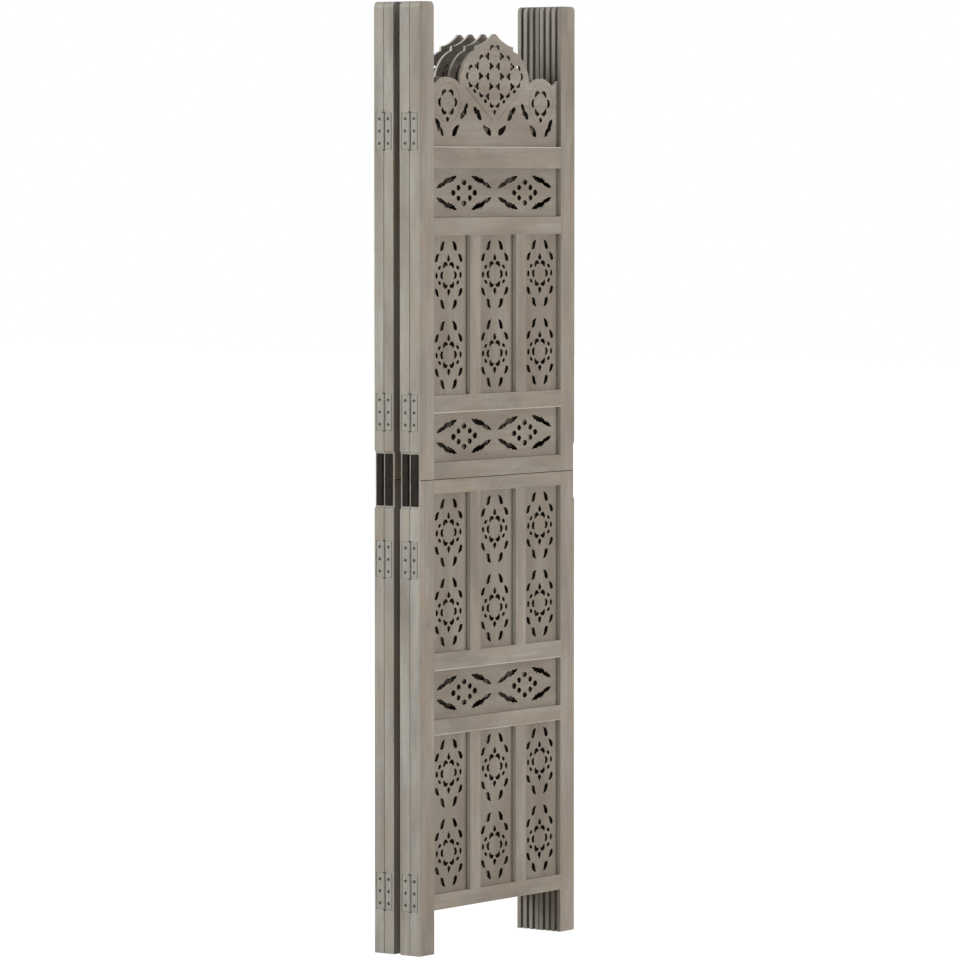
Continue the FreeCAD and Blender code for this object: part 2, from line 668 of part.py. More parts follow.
def main():
    """Builds every node, centres the folded stack on the origin and writes one file per node."""
    shapes = {}
    shared = frame_nodes()
    placements = hung_panels()
    for panel, placement in enumerate(placements):
        for name, solids in {**shared, **hinged_nodes(panel)}.items():
            shape = Part.makeCompound(solids)
            shape.Placement = placement
            shapes["panel_%d_%s" % (panel + 1, name)] = shape
    for line in range(PANEL_COUNT - 1):
        hinge = panel_hinges(line)[-1]
        shape = Part.makeCompound([hinge_pin(hinge, height) for height in HINGE_HEIGHTS])
        shape.Placement = placements[line]
        shapes["hinge_line_%d_pins" % (line + 1)] = shape
    box = FreeCAD.BoundBox()
    for shape in shapes.values():
        box.add(shape.BoundBox)
    centred = Placement(Vector(-box.Center.x, -box.Center.y, 0), Rotation())
    os.makedirs("parts", exist_ok=True)
    for name, shape in shapes.items():
        shape.Placement = centred.multiply(shape.Placement)
        shape.exportStep("parts/%s.step" % name)
    print("size", box.XLength, box.YLength, box.ZLength)
    for line in range(PANEL_COUNT - 1):
        hinge = panel_hinges(line)[-1]
        pin = centred.multiply(placements[line]).multVec(Vector(hinge.pin_x, hinge.pin_y, 0))
        print("hinge line", line + 1, "at", pin.x, pin.y)


main()
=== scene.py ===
"""Carved folding screen, dressed: grey-washed wood, painted butt hinges and black joining plates.

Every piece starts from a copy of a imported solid. The pieces of a panel are shaped in the panel's
own frame (X across it, Y through its thickness from the middle, Z up) and then hung in its place.
"""
import json
import math
import random

import bmesh
import bpy
from mathutils import Matrix, Vector


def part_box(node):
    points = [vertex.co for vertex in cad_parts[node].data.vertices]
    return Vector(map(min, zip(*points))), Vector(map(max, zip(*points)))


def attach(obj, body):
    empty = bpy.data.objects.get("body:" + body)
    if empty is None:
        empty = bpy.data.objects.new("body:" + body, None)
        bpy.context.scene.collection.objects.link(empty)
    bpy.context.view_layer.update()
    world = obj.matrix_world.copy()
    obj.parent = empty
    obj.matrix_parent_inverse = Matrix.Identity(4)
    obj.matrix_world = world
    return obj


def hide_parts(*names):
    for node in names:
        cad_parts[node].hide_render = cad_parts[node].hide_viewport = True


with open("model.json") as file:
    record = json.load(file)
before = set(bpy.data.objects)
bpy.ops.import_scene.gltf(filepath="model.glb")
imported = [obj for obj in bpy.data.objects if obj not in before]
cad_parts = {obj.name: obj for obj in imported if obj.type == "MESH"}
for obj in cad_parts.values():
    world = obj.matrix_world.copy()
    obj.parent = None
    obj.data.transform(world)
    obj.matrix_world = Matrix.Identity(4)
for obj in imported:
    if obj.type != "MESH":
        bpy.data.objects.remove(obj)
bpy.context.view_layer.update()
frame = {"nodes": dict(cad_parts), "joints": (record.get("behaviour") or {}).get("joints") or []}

MM = 0.001
QUARTER_TURN = math.pi / 2
UP = Vector((0, 0, 1))
ACROSS = Vector((1, 0, 0))
THROUGH = Vector((0, 1, 0))
FLAT_MASK = Vector((1, 0, 1))

# Panels, as in the solids
HALF_THICKNESS = 11.5 * MM
HALF_WIDTH = 254 * MM
STILE_WIDTH = 46.5 * MM
MEETING_HEIGHT = 914.5 * MM
BOARD_HALF = 3 * MM
OPENINGS_FOOT = 90 * MM
CREST_FOOT = 1553 * MM
REBATE_FLOOR = 250.5 * MM
PLATE_HALF_LENGTH = 50 * MM
PLATE_HALF_WIDTH = 6.75 * MM

# Reading the solids
MERGE = 0.005 * MM
SLIVER = 0.002 * MM
ON_PLANE = 0.05 * MM
FLAT = math.radians(0.5)
SMOOTH = math.radians(35)
SHARP = math.radians(50)
# Share of a direction that lies along an axis: nearly all, most of it, and next to none
PARALLEL = 0.99
FACING = 0.9
EDGE_ON = 0.1

# Places of the materials on rails and stiles, on mullions and on boards
MEMBER_EDGE, MEMBER_SEAM, MEMBER_PAINTED_LIGHT, MEMBER_PAINTED_SHADOW = range(1, 5)
MULLION_EDGE, MULLION_PAINTED_LIGHT = range(1, 3)
BOARD_FACE, BOARD_CHAMFER, BOARD_HOLE, BOARD_RIM = range(4)

# Eased edges
FRAME_EASE = 0.75 * MM
FRAME_EASE_STEPS = 3
PALE_EASE = 2 * MM
PALE_ARRISES = (421.5 * MM, 546 * MM, 1041.5 * MM, 1553 * MM)
SHOULDER_EASE = 0.35 * MM
SHOULDER_EASE_STEPS = 1
FRET_CHAMFER = 0.6 * MM
CREST_CHAMFER = 0.8 * MM
PLATE_EASE = 0.3 * MM
PLATE_EASE_STEPS = 2
PIN_EASE = 0.7 * MM
PIN_EASE_STEPS = 3
# The strip beside a joining plate that the painted shadow stops short of, on the arris of the panel
# behind
UNSHADED_ARRIS = 1.7 * MM

# Feather-shaped holes and beads of the friezes: how far their walls are drawn in or out
FEATHER_SPAN = 25 * MM
FEATHER_SQUEEZE = 0.74
BARB_SQUEEZE = 1.15
BARB_STEP = 4
BEAD_STRETCH = Vector((1.3, 1, 1.12))
SOUND_AREA_SHARES = (0.97, 1.08)

# Carving of the crest, measured from its foot
EYE_RADIUS = 1.7 * MM
EYE_DEPTH = 0.9 * MM
EYE_SEGMENTS = 12
EYE_RINGS = 8
FLOWER_RISE = 136.0 * MM
FLOWER_STEP = Vector((34.2 * MM, 0, 19.5 * MM))
FLOWER_REACH = 2
LOBE_PLACE = Vector((151.9 * MM, 0, 84.6 * MM))
LOBE_LINE_RADIUS = 39 * MM
LOBE_LINE_SEGMENTS = 48
CREST_LINE = (Vector((97 * MM, 0, 117 * MM)), Vector((7 * MM, 0, 50 * MM)))
LINE_DEPTH = 0.65 * MM
LINE_SIDES = 4

# Wandering of hand-cut outlines: the size of the waves and their reach
WANDERS = ((22 * MM, 1.4 * MM), (7 * MM, 0.8 * MM))

# Cross recess in each screw head, and the draw of how the driver left it
RECESS_LENGTH = 4.0 * MM
RECESS_WIDTH = 1.0 * MM
RECESS_DEPTH = 1.1 * MM
RECESS_TAPER = 0.5
DRIVER_SEED = 7

# Camera, from the photograph's vanishing lines
CAMERA_AZIMUTH = math.radians(53.44)
CAMERA_FALL = math.radians(3.016)
CAMERA_DISTANCE = 11.375
CAMERA_AIM = Vector((0.0139, 0, 0.9033))
CAMERA_FOCAL_PIXELS = 5825
CAMERA_REACH = 100
IMAGE_PIXELS = 960
SENSOR = 36.0

# Floor: lit by the lamps near the screen, where its shadow falls, and whiter farther off
FLOOR_SIZE = 60
FLOOR_COLOUR = "#e4e4e2"
FLOOR_ROUGHNESS = 0.9
FLOOR_WHITE = 1.17
SHADOW_REACH = (1.0, 3.5)
WHITE_SHARES = (0.8, 1.0)
WHITE = "#ffffff"
AMBIENT = 0.07
# Name, place, width, height, watts and colour
SOFTBOXES = (
    ("key_softbox", Vector((3.0, -5.5, 1.1)), 4.4, 2.0, 288, "#fffaf4"),
    ("fill_softbox", Vector((-5.5, -0.5, 1.4)), 2.5, 2.5, 66, "#fffdf8"),
    ("edge_softbox", Vector((-6.3, 3.0, 3.2)), 3.0, 3.0, 450, "#f0f8fa"),
    ("back_softbox", Vector((2.5, 5.5, 1.5)), 3.0, 2.0, 190, "#fffaf4"),
    ("top_softbox", Vector((0.3, -1.6, 4.6)), 2.0, 2.0, 42, "#ffffff"),
)

random.seed(DRIVER_SEED)


def activate(piece):
    """Selects one object alone."""
    bpy.ops.object.select_all(action="DESELECT")
    piece.select_set(True)
    bpy.context.view_layer.objects.active = piece


def new_piece(name, mesh):
    """An object for a mesh, selected alone."""
    piece = bpy.data.objects.new(name, mesh)
    bpy.context.scene.collection.objects.link(piece)
    activate(piece)
    return piece


def solid_copy(node, name, *materials):
    """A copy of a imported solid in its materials, its triangles merged into clean flat faces."""
    piece = new_piece(name, frame["nodes"][node].data.copy())
    piece.data.materials.clear()
    for material in materials:
        piece.data.materials.append(material)
    bpy.ops.mesh.customdata_custom_splitnormals_clear()
    bpy.ops.object.mode_set(mode="EDIT")
    bpy.ops.mesh.select_all(action="SELECT")
    bpy.ops.mesh.remove_doubles(threshold=MERGE)
    bpy.ops.mesh.dissolve_limited(angle_limit=FLAT)
    bpy.ops.object.mode_set(mode="OBJECT")
    return piece


def put(piece, matrix):
    """Moves a piece by a matrix and keeps the move in its mesh."""
    activate(piece)
    piece.matrix_world = matrix
    bpy.ops.object.transform_apply(location=True, rotation=True, scale=True)


def ease(piece, wanted, width, steps, slot=0):
    """Bevels the edges that a test picks. The new faces take a material slot."""
    activate(piece)
    bpy.ops.object.mode_set(mode="EDIT")
    bpy.ops.mesh.select_mode(type="EDGE")
    bpy.ops.mesh.select_all(action="DESELECT")
    mesh = bmesh.from_edit_mesh(piece.data)
    for edge in mesh.edges:
        edge.select_set(wanted(edge))
    bmesh.update_edit_mesh(piece.data)
    bpy.ops.mesh.bevel(
        offset=width, segments=steps, affect="EDGES", clamp_overlap=False, material=slot)
    bpy.ops.object.mode_set(mode="OBJECT")


def cut(piece, cutter):
    """Takes the cutter's shape away from a piece, and throws the cutter away."""
    activate(piece)
    bpy.ops.object.mode_set(mode="EDIT")
    bpy.ops.mesh.select_all(action="SELECT")
    bpy.ops.mesh.quads_convert_to_tris()
    bpy.ops.object.mode_set(mode="OBJECT")
    activate(cutter)
    bpy.ops.object.mode_set(mode="EDIT")
    bpy.ops.mesh.select_all(action="SELECT")
    bpy.ops.mesh.normals_make_consistent(inside=False)
    bpy.ops.object.mode_set(mode="OBJECT")
    activate(piece)
    carving = piece.modifiers.new("carving", "BOOLEAN")
    carving.operation = "DIFFERENCE"
    carving.solver = "EXACT"
    carving.object = cutter
    bpy.ops.object.modifier_apply(modifier=carving.name)
    bpy.data.objects.remove(cutter)


def loose_parts(piece):
    """Separates a piece into its solids."""
    activate(piece)
    bpy.ops.object.mode_set(mode="EDIT")
    bpy.ops.mesh.select_all(action="SELECT")
    bpy.ops.mesh.separate(type="LOOSE")
    bpy.ops.object.mode_set(mode="OBJECT")
    return list(bpy.context.selected_objects)


def corners(piece):
    """Lowest and highest corner of a piece."""
    points = [vertex.co for vertex in piece.data.vertices]
    low = Vector([min(point[axis] for point in points) for axis in range(3)])
    high = Vector([max(point[axis] for point in points) for axis in range(3)])
    return low, high


def joined(parts, name):
    """Joins parts into one piece."""
    bpy.ops.object.select_all(action="DESELECT")
    for part in parts:
        part.select_set(True)
    bpy.context.view_layer.objects.active = parts[0]
    bpy.ops.object.join()
    parts[0].name = name
    return parts[0]


def panel_frames():
    """Where each panel stands: turned by the folds before it, about the middle of its mullions."""
    turn = 0
    frames = []
    for panel in range(1, len(frame["joints"]) + 2):
        low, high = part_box("panel_%d_mullions" % panel)
        middle = (low + high) / 2
        stand = Matrix.Translation((middle.x, middle.y, 0))
        frames.append(stand @ Matrix.Rotation(turn, 4, UP))
        if panel <= len(frame["joints"]):
            joint = frame["joints"][panel - 1]
            turn -= math.radians(joint["range_deg"][0]) * joint["axis"][2]
    return frames


PANELS = panel_frames()


def linear(hex_colour):
    """An sRGB hex colour as linear red, green, blue and alpha."""
    values = []
    for start in (1, 3, 5):
        value = int(hex_colour[start:start + 2], 16) / 255
        values.append(value / 12.92 if value <= 0.04045 else ((value + 0.055) / 1.055) ** 2.4)
    return (*values, 1)


def add(tree, kind, inputs=(), **settings):
    """Adds a node with its settings. An input is a value, or another node's socket to link from."""
    node = tree.nodes.new(kind)
    for name, value in settings.items():
        setattr(node, name, value)
    for name, value in dict(inputs).items():
        if isinstance(value, bpy.types.NodeSocket):
            tree.links.new(value, node.inputs[name])
        else:
            node.inputs[name].default_value = value
    return node


# Size across the grain and along it in millimetres, octaves and their roughness. Real pores and
# grain lines are finer than the picture shows, so they are drawn coarse enough to be seen
WOOD_PATTERNS = {
    "clouds": (55, 210, 4, 0.55),
    "wiping": (7, 190, 4, 0.6),
    "bare": (34, 120, 5, 0.62),
    "grain": (1.8, 60, 3, 0.6),
    "pores": (1.1, 11, 2, 0.5),
}
PORE_FILL = "#574c41"
PORE_DEPTH = 0.12 * MM
WOOD_RELIEF = 0.6
WOOD_GLOSS = (0.6, 0.78)
# A random number tells pieces apart: one for each smooth stretch of faces, or for each object.
# It moves their patterns by up to this many features, and their lightness within these limits
BY_STRETCH = ("ShaderNodeNewGeometry", "Random Per Island")
BY_OBJECT = ("ShaderNodeObjectInfo", "Random")
PATTERN_SHIFT = 40.0
PIECE_TONES = (0.97, 1.03)


def washed_wood(name, along, wash, shade, bare, bare_share, specular, apart_by=BY_STRETCH):
    """Mango wood under a thin matt grey wash, wiped along the grain.

    The wash lies unevenly, so soft clouds and wiped streaks run along the grain, the brown wood
    shows through in patches and on rubbed edges, and open pores stay as short dark dashes.
    """
    material = bpy.data.materials.new(name)
    material.use_nodes = True
    tree = material.node_tree
    shader = tree.nodes["Principled BSDF"]
    place = add(tree, "ShaderNodeTexCoord").outputs["Object"]
    source, output = apart_by
    chance = add(tree, source).outputs[output]
    apart = add(tree, "ShaderNodeMath", {0: chance, 1: PATTERN_SHIFT}, operation="MULTIPLY")
    pattern = {}
    for layer, (across, length, detail, roughness) in WOOD_PATTERNS.items():
        stretch = [1 / (across * MM)] * 3
        stretch["XYZ".index(along)] = 1 / (length * MM)
        laid = add(tree, "ShaderNodeMapping", {"Vector": place, "Scale": stretch})
        noise = add(tree, "ShaderNodeTexNoise", {
            "Vector": laid.outputs["Vector"], "W": apart.outputs[0], "Scale": 1.0,
            "Detail": detail, "Roughness": roughness}, noise_dimensions="4D")
        pattern[layer] = noise.outputs["Fac"]

    # Each coat grows from the first value of its pattern to the second, up to a share
    colour = linear(wash)
    for layer, low, high, share, tone in (
            ("clouds", 0.38, 0.64, 1.0, shade),
            ("wiping", 0.36, 0.7, 0.45, shade),
            ("bare", 0.48, 0.68, bare_share, bare),
            ("grain", 0.45, 0.75, 0.3, bare),
            ("pores", 0.6, 0.74, 0.5, PORE_FILL)):
        mask = add(tree, "ShaderNodeMapRange", {
            "Value": pattern[layer], "From Min": low, "From Max": high, "To Max": share})
        coat = add(tree, "ShaderNodeMix", {
            0: mask.outputs["Result"], 6: colour, 7: linear(tone)}, data_type="RGBA")
        colour = coat.outputs[2]
    darkest, lightest = PIECE_TONES
    lightness = add(tree, "ShaderNodeMapRange", {
        "Value": chance, "To Min": darkest, "To Max": lightest})
    tint = add(tree, "ShaderNodeHueSaturation", {
        "Color": colour, "Value": lightness.outputs["Result"]})
    glossiest, dullest = WOOD_GLOSS
    gloss = add(tree, "ShaderNodeMapRange", {
        "Value": pattern["wiping"], "From Min": 0.2, "From Max": 0.8,
        "To Min": glossiest, "To Max": dullest})
    pits = add(tree, "ShaderNodeMapRange", {
        "Value": pattern["pores"], "From Min": 0.58, "From Max": 0.7,
        "To Min": 1.0, "To Max": 0.0})
    relief = add(tree, "ShaderNodeMath", {
        0: pattern["grain"], 1: pits.outputs["Result"]}, operation="ADD")
    bump = add(tree, "ShaderNodeBump", {
        "Height": relief.outputs[0], "Distance": PORE_DEPTH, "Strength": WOOD_RELIEF})
    tree.links.new(tint.outputs["Color"], shader.inputs["Base Color"])
    tree.links.new(gloss.outputs["Result"], shader.inputs["Roughness"])
    tree.links.new(bump.outputs["Normal"], shader.inputs["Normal"])
    shader.inputs["Specular IOR Level"].default_value = specular
    return material


# Brush strokes, scuffs and the paint's pebbles, drawn a little coarser than real ones to be seen
STROKE_WIDTH = 2 * MM
STROKE_LENGTH = 30 * MM
SCUFF = 6 * MM
SCUFF_SHARE = 0.6
PEBBLE = 0.8 * MM
PEBBLE_HEIGHT = 0.06 * MM
STEEL_RELIEF = 0.4
GLOSS_SWING = 0.08


def stamped_steel(name, skin, wear, contrast, roughness, metallic, specular):
    """Stamped steel, painted by brush or left to darken.

    Fine upright strokes run over a pebbled skin, and scuffs show what is under it.
    """
    material = bpy.data.materials.new(name)
    material.use_nodes = True
    tree = material.node_tree
    shader = tree.nodes["Principled BSDF"]
    place = add(tree, "ShaderNodeTexCoord").outputs["Object"]
    upright = add(tree, "ShaderNodeMapping", {
        "Vector": place, "Scale": (1 / STROKE_WIDTH, 1 / STROKE_WIDTH, 1 / STROKE_LENGTH)})
    strokes = add(tree, "ShaderNodeTexNoise", {
        "Vector": upright.outputs["Vector"], "Scale": 1.0, "Detail": 3.0})
    scuffs = add(tree, "ShaderNodeTexNoise", {
        "Vector": place, "Scale": 1 / SCUFF, "Detail": 6.0, "Roughness": 0.7})
    pebbles = add(tree, "ShaderNodeTexNoise", {
        "Vector": place, "Scale": 1 / PEBBLE, "Detail": 2.0})
    share = add(tree, "ShaderNodeMapRange", {
        "Value": scuffs.outputs["Fac"], "From Min": 0.5, "From Max": 0.72, "To Max": SCUFF_SHARE})
    streak = add(tree, "ShaderNodeMapRange", {
        "Value": strokes.outputs["Fac"], "From Min": 0.3, "From Max": 0.7,
        "To Min": 1 - contrast, "To Max": 1 + contrast})
    worn = add(tree, "ShaderNodeMix", {
        0: share.outputs["Result"], 6: linear(skin), 7: linear(wear)}, data_type="RGBA")
    tint = add(tree, "ShaderNodeHueSaturation", {
        "Color": worn.outputs[2], "Value": streak.outputs["Result"]})
    gloss = add(tree, "ShaderNodeMapRange", {
        "Value": scuffs.outputs["Fac"], "From Min": 0.3, "From Max": 0.7,
        "To Min": roughness - GLOSS_SWING, "To Max": roughness + GLOSS_SWING})
    bump = add(tree, "ShaderNodeBump", {
        "Height": pebbles.outputs["Fac"], "Distance": PEBBLE_HEIGHT, "Strength": STEEL_RELIEF})
    tree.links.new(tint.outputs["Color"], shader.inputs["Base Color"])
    tree.links.new(gloss.outputs["Result"], shader.inputs["Roughness"])
    tree.links.new(bump.outputs["Normal"], shader.inputs["Normal"])
    shader.inputs["Metallic"].default_value = metallic
    shader.inputs["Specular IOR Level"].default_value = specular
    return material


# Frame wood: taupe grey with tan patches where the wash is thin
WASH = ("#99938b", "#7b736b", "#918270", 0.6, 0.3)
UPRIGHT_WOOD = washed_wood("grey_washed_mango_upright", "Z", *WASH)
LEVEL_WOOD = washed_wood("grey_washed_mango_level", "X", *WASH)
# Fretwork wood: a little darker and browner than the frame's
FRET_WASH = ("#8e887f", "#776e66", "#7c6e5f", 0.5, 0.3)
CARVED_UPRIGHT = washed_wood("grey_washed_fretwork_upright", "Z", *FRET_WASH)
CARVED_LEVEL = washed_wood("grey_washed_fretwork_level", "X", *FRET_WASH)
# Crest wood: the same wash, a little lighter than the fretwork's. Each crest has one tone, which
# its engraved lines don't part
CREST_WASH = ("#948e86", "#7c736b", "#817263", 0.5, 0.3)
CREST_WOOD = washed_wood("grey_washed_crest", "X", *CREST_WASH, BY_OBJECT)
# Rubbed edges: paler, because the wash gathers and dries along them
RUBBED = ("#a7a299", "#918a80", "#95856f", 0.6, 0.3)
RUBBED_UPRIGHT = washed_wood("rubbed_mango_edge_upright", "Z", *RUBBED)
RUBBED_LEVEL = washed_wood("rubbed_mango_edge_level", "X", *RUBBED)
# Walls of the openings: painted light, a pale colour that lightens these walls where they sit in
# the rebates' shade
WALL_LIGHT_TONES = ("#bab5ab", "#a39c92", "#a39481", 0.5, 0.3)
PAINTED_LIGHT_WALL = washed_wood("painted_light_on_opening_walls", "Z", *WALL_LIGHT_TONES)
# Arrises of some rails and the crest's rim: palest, a painted highlight for the light that catches
# them
ARRIS_HIGHLIGHT_TONES = ("#dad5cc", "#c6c0b5", "#b8ab97", 0.5, 0.3)
PAINTED_HIGHLIGHT_LEVEL = washed_wood("painted_highlight_on_arrises", "X", *ARRIS_HIGHLIGHT_TONES)
# Sawn walls of the holes: painted shade, dark brown, for the shade that falls inside them
HOLE_SHADE_TONES = ("#342c25", "#26201b", "#42362a", 0.4, 0.06)
SHADED_HOLE_WALL = washed_wood("painted_shade_hole_wall", "X", *HOLE_SHADE_TONES)
# Walls of the friezes' holes: the same painted shade, nearly black
FEATHER_SHADE_TONES = ("#1e1914", "#17130f", "#28201a", 0.4, 0.05)
SHADED_FEATHER_WALL = washed_wood("painted_shade_feather_wall", "X", *FEATHER_SHADE_TONES)
# Painted shadow in the seam at half height: a thin dark line where the gap between upper and lower
# frames lies in shade
SEAM_SHADOW_TONES = ("#3a322a", "#28221c", "#4a3d30", 0.5, 0.1)
SEAM_SHADOW_WOOD = washed_wood("painted_shadow_in_the_seam", "X", *SEAM_SHADOW_TONES)
# Painted shadow beside the joining plates: near black on the wood, dull, with the grain under it
PLATE_SHADOW_TONES = ("#1a1714", "#131110", "#241e18", 0.4, 0.08)
PLATE_SHADOW_WOOD = washed_wood("painted_shadow_beside_plates", "Z", *PLATE_SHADOW_TONES)
# Hinge plates: painted over with the frame's wash, a shade smoother than wood
HINGE_PAINT = stamped_steel(
    "grey_painted_hinge_steel", "#8d887f", "#7c756a", 0.12, 0.72, 0.0, 0.25)
# Screws and pins: browned steel, small dark spots with a soft glint
BROWNED_STEEL = stamped_steel(
    "browned_screw_steel", "#49443d", "#332e28", 0.15, 0.6, 1.0, 0.5)
# Joining plates and their screws: dull black paint with brown rubbed strokes
BLACK_STEEL = stamped_steel(
    "black_painted_strap_steel", "#1f1b18", "#3b332a", 0.6, 0.8, 0.0, 0.12)


def on_face(edge):
    """An edge that lies on the front or back face of its panel."""
    return all(abs(abs(vertex.co.y) - HALF_THICKNESS) < ON_PLANE for vertex in edge.verts)


def runs(edge, way):
    """An edge that runs along an axis."""
    line = edge.verts[1].co - edge.verts[0].co
    return abs(line.normalized().dot(way)) > PARALLEL


def is_front(face):
    """A face on the front or back of a board."""
    return abs(face.normal.y) > FACING


def is_wall(face):
    """A face that runs through a board's thickness."""
    return abs(face.normal.y) < EDGE_ON


def span(ring):
    """The longer of a ring's width and height."""
    points = [vertex.co for face in ring for vertex in face.verts]
    return max(
        max(point[axis] for point in points) - min(point[axis] for point in points)
        for axis in (0, 2))


def hole_rings(mesh):
    """The rings of wall faces round a board's holes. The longest ring, its outline, is left out."""
    left = dict.fromkeys(face for face in mesh.faces if is_wall(face))
    rings = []
    while left:
        ring = [next(iter(left))]
        del left[ring[0]]
        for face in ring:
            for edge in face.edges:
                for other in edge.link_faces:
                    if other in left:
                        del left[other]
                        ring.append(other)
        rings.append(ring)
    return sorted(rings, key=span)[:-1]


def face_area(board):
    """Area of both faces of a board."""
    return sum(face.area for face in board.data.polygons if is_front(face))


def ordered_lines(ring):
    """The edges that cross a hole's wall, in order round the hole."""
    def crossing(face):
        return [edge for edge in face.edges if runs(edge, THROUGH)]

    face = ring[0]
    lines = [crossing(face)[0]]
    while True:
        onward = [edge for edge in crossing(face) if edge is not lines[-1]][0]
        if onward is lines[0]:
            return lines
        lines.append(onward)
        face = [other for other in onward.link_faces if other is not face][0]


def farthest_apart(points):
    """The two tips of a shape."""
    pairs = ((a, b) for a in points for b in points)
    return max(pairs, key=lambda pair: (pair[0] - pair[1]).length)


def split_feathers(board):
    """Halves the faces round the feather-shaped holes of a board that is open in edit mode."""
    bpy.ops.mesh.select_mode(type="EDGE")
    bpy.ops.mesh.select_all(action="DESELECT")
    mesh = bmesh.from_edit_mesh(board.data)
    for ring in hole_rings(mesh):
        if span(ring) > FEATHER_SPAN:
            for face in ring:
                for edge in face.edges:
                    edge.select_set(not runs(edge, THROUGH))
    bmesh.update_edit_mesh(board.data)
    bpy.ops.mesh.subdivide(number_cuts=1)


def barb(ring):
    """Draws a feather's wall towards the line between its tips, and leaves some lines as barbs."""
    lines = ordered_lines(ring)
    places = [line.verts[0].co * FLAT_MASK for line in lines]
    tip, other_tip = farthest_apart(places)
    way = (other_tip - tip).normalized()
    for number, line in enumerate(lines):
        squeeze = FEATHER_SQUEEZE if number % BARB_STEP else BARB_SQUEEZE
        for vertex in line.verts:
            offset = vertex.co * FLAT_MASK - tip
            aside = offset - way * offset.dot(way)
            vertex.co -= aside * (1 - squeeze)


def round_out(ring):
    """Stretches a bead about its middle."""
    points = list(dict.fromkeys(vertex for face in ring for vertex in face.verts))
    middle = sum((vertex.co for vertex in points), Vector()) / len(points)
    for vertex in points:
        vertex.co = middle + (vertex.co - middle) * BEAD_STRETCH


def refill(board):
    """Fills both faces of a board anew, between the walls as they now run."""
    bpy.ops.mesh.select_mode(type="FACE")
    bpy.ops.mesh.select_all(action="DESELECT")
    mesh = bmesh.from_edit_mesh(board.data)
    for face in mesh.faces:
        face.select_set(is_front(face))
    bmesh.update_edit_mesh(board.data)
    bpy.ops.mesh.delete(type="FACE")
    bpy.ops.mesh.select_mode(type="EDGE")
    for side in (-1, 1):
        bpy.ops.mesh.select_all(action="DESELECT")
        mesh = bmesh.from_edit_mesh(board.data)
        for edge in mesh.edges:
            on_side = all(vertex.co.y * side > 0 for vertex in edge.verts)
            edge.select_set(edge.is_boundary and on_side)
        bmesh.update_edit_mesh(board.data)
        bpy.ops.mesh.fill(use_beauty=True)
    bpy.ops.mesh.select_all(action="SELECT")
    bpy.ops.mesh.normals_make_consistent(inside=False)


def shape_holes(board):
    """Barbs the feather-shaped holes of a board and rounds out its beads.

    A board whose faces can't be filled soundly round the new holes stays plain.
    """
    plain = board.data.copy()
    plain_area = face_area(board)
    activate(board)
    bpy.ops.object.mode_set(mode="EDIT")
    split_feathers(board)
    mesh = bmesh.from_edit_mesh(board.data)
    for ring in hole_rings(mesh):
        if span(ring) > FEATHER_SPAN:
            barb(ring)
        else:
            round_out(ring)
    refill(board)
    bpy.ops.object.mode_set(mode="OBJECT")
    low, high = SOUND_AREA_SHARES
    if not low < face_area(board) / plain_area < high:
        board.data = plain


def chamfer(board, depth):
    """Breaks every rim on both faces of a board: the faces draw in, and their old rims sink.

    The new faces and the walls of the holes take materials of their own.
    """
    activate(board)
    bpy.ops.object.mode_set(mode="EDIT")
    bpy.ops.mesh.select_mode(type="FACE")
    bpy.ops.mesh.select_all(action="DESELECT")
    mesh = bmesh.from_edit_mesh(board.data)
    for face in mesh.faces:
        face.select_set(is_front(face))
    bmesh.update_edit_mesh(board.data)
    bpy.ops.mesh.inset(thickness=depth, depth=0)
    bpy.ops.mesh.select_all(action="INVERT")
    mesh = bmesh.from_edit_mesh(board.data)
    for face in mesh.faces:
        if face.select and is_front(face):
            face.material_index = BOARD_CHAMFER
    # The walls of the holes take painted shade
    for ring in hole_rings(mesh):
        for face in ring:
            face.material_index = BOARD_HOLE
    flat = {vertex for face in mesh.faces if not face.select for vertex in face.verts}
    bpy.ops.mesh.select_mode(type="VERT")
    for vertex in mesh.verts:
        vertex.select_set(vertex not in flat)
    mesh.select_flush_mode()
    bmesh.update_edit_mesh(board.data)
    bpy.ops.transform.resize(
        value=(1, (BOARD_HALF - depth) / BOARD_HALF, 1), center_override=(0, 0, 0))
    bpy.ops.object.mode_set(mode="OBJECT")


def finish_piece(piece, node, body):
    """Shades a piece, and lets it stand for its solid."""
    activate(piece)
    bpy.ops.object.shade_smooth_by_angle(angle=SMOOTH)
    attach(piece, body)
    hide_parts(node)


def hang_in_all_panels(piece, kind, last_touch=None):
    """Copies a piece that was shaped in the panel's frame into every panel."""
    for number, place in enumerate(PANELS, 1):
        node = "panel_%d_%s" % (number, kind)
        copy = new_piece(node + "_dressed", piece.data.copy())
        put(copy, place)
        if last_touch:
            last_touch(copy)
        finish_piece(copy, node, "panel_%d" % number)
    bpy.data.objects.remove(piece)


def front_panel_copy(kind, *materials):
    """A copy of a solid of the first panel in the panel's own frame, in its materials."""
    piece = solid_copy("panel_1_" + kind, kind, *materials)
    put(piece, PANELS[0].inverted())
    return piece


def shadow_seam(piece):
    """Darkens the eased edges at half height, where upper and lower frames meet: a painted shadow
    of the gap between them.
    """
    for face in piece.data.polygons:
        near = abs(face.center.z - MEETING_HEIGHT) < FRAME_EASE
        if near and abs(face.center.y) > HALF_THICKNESS - FRAME_EASE:
            face.material_index = MEMBER_SEAM


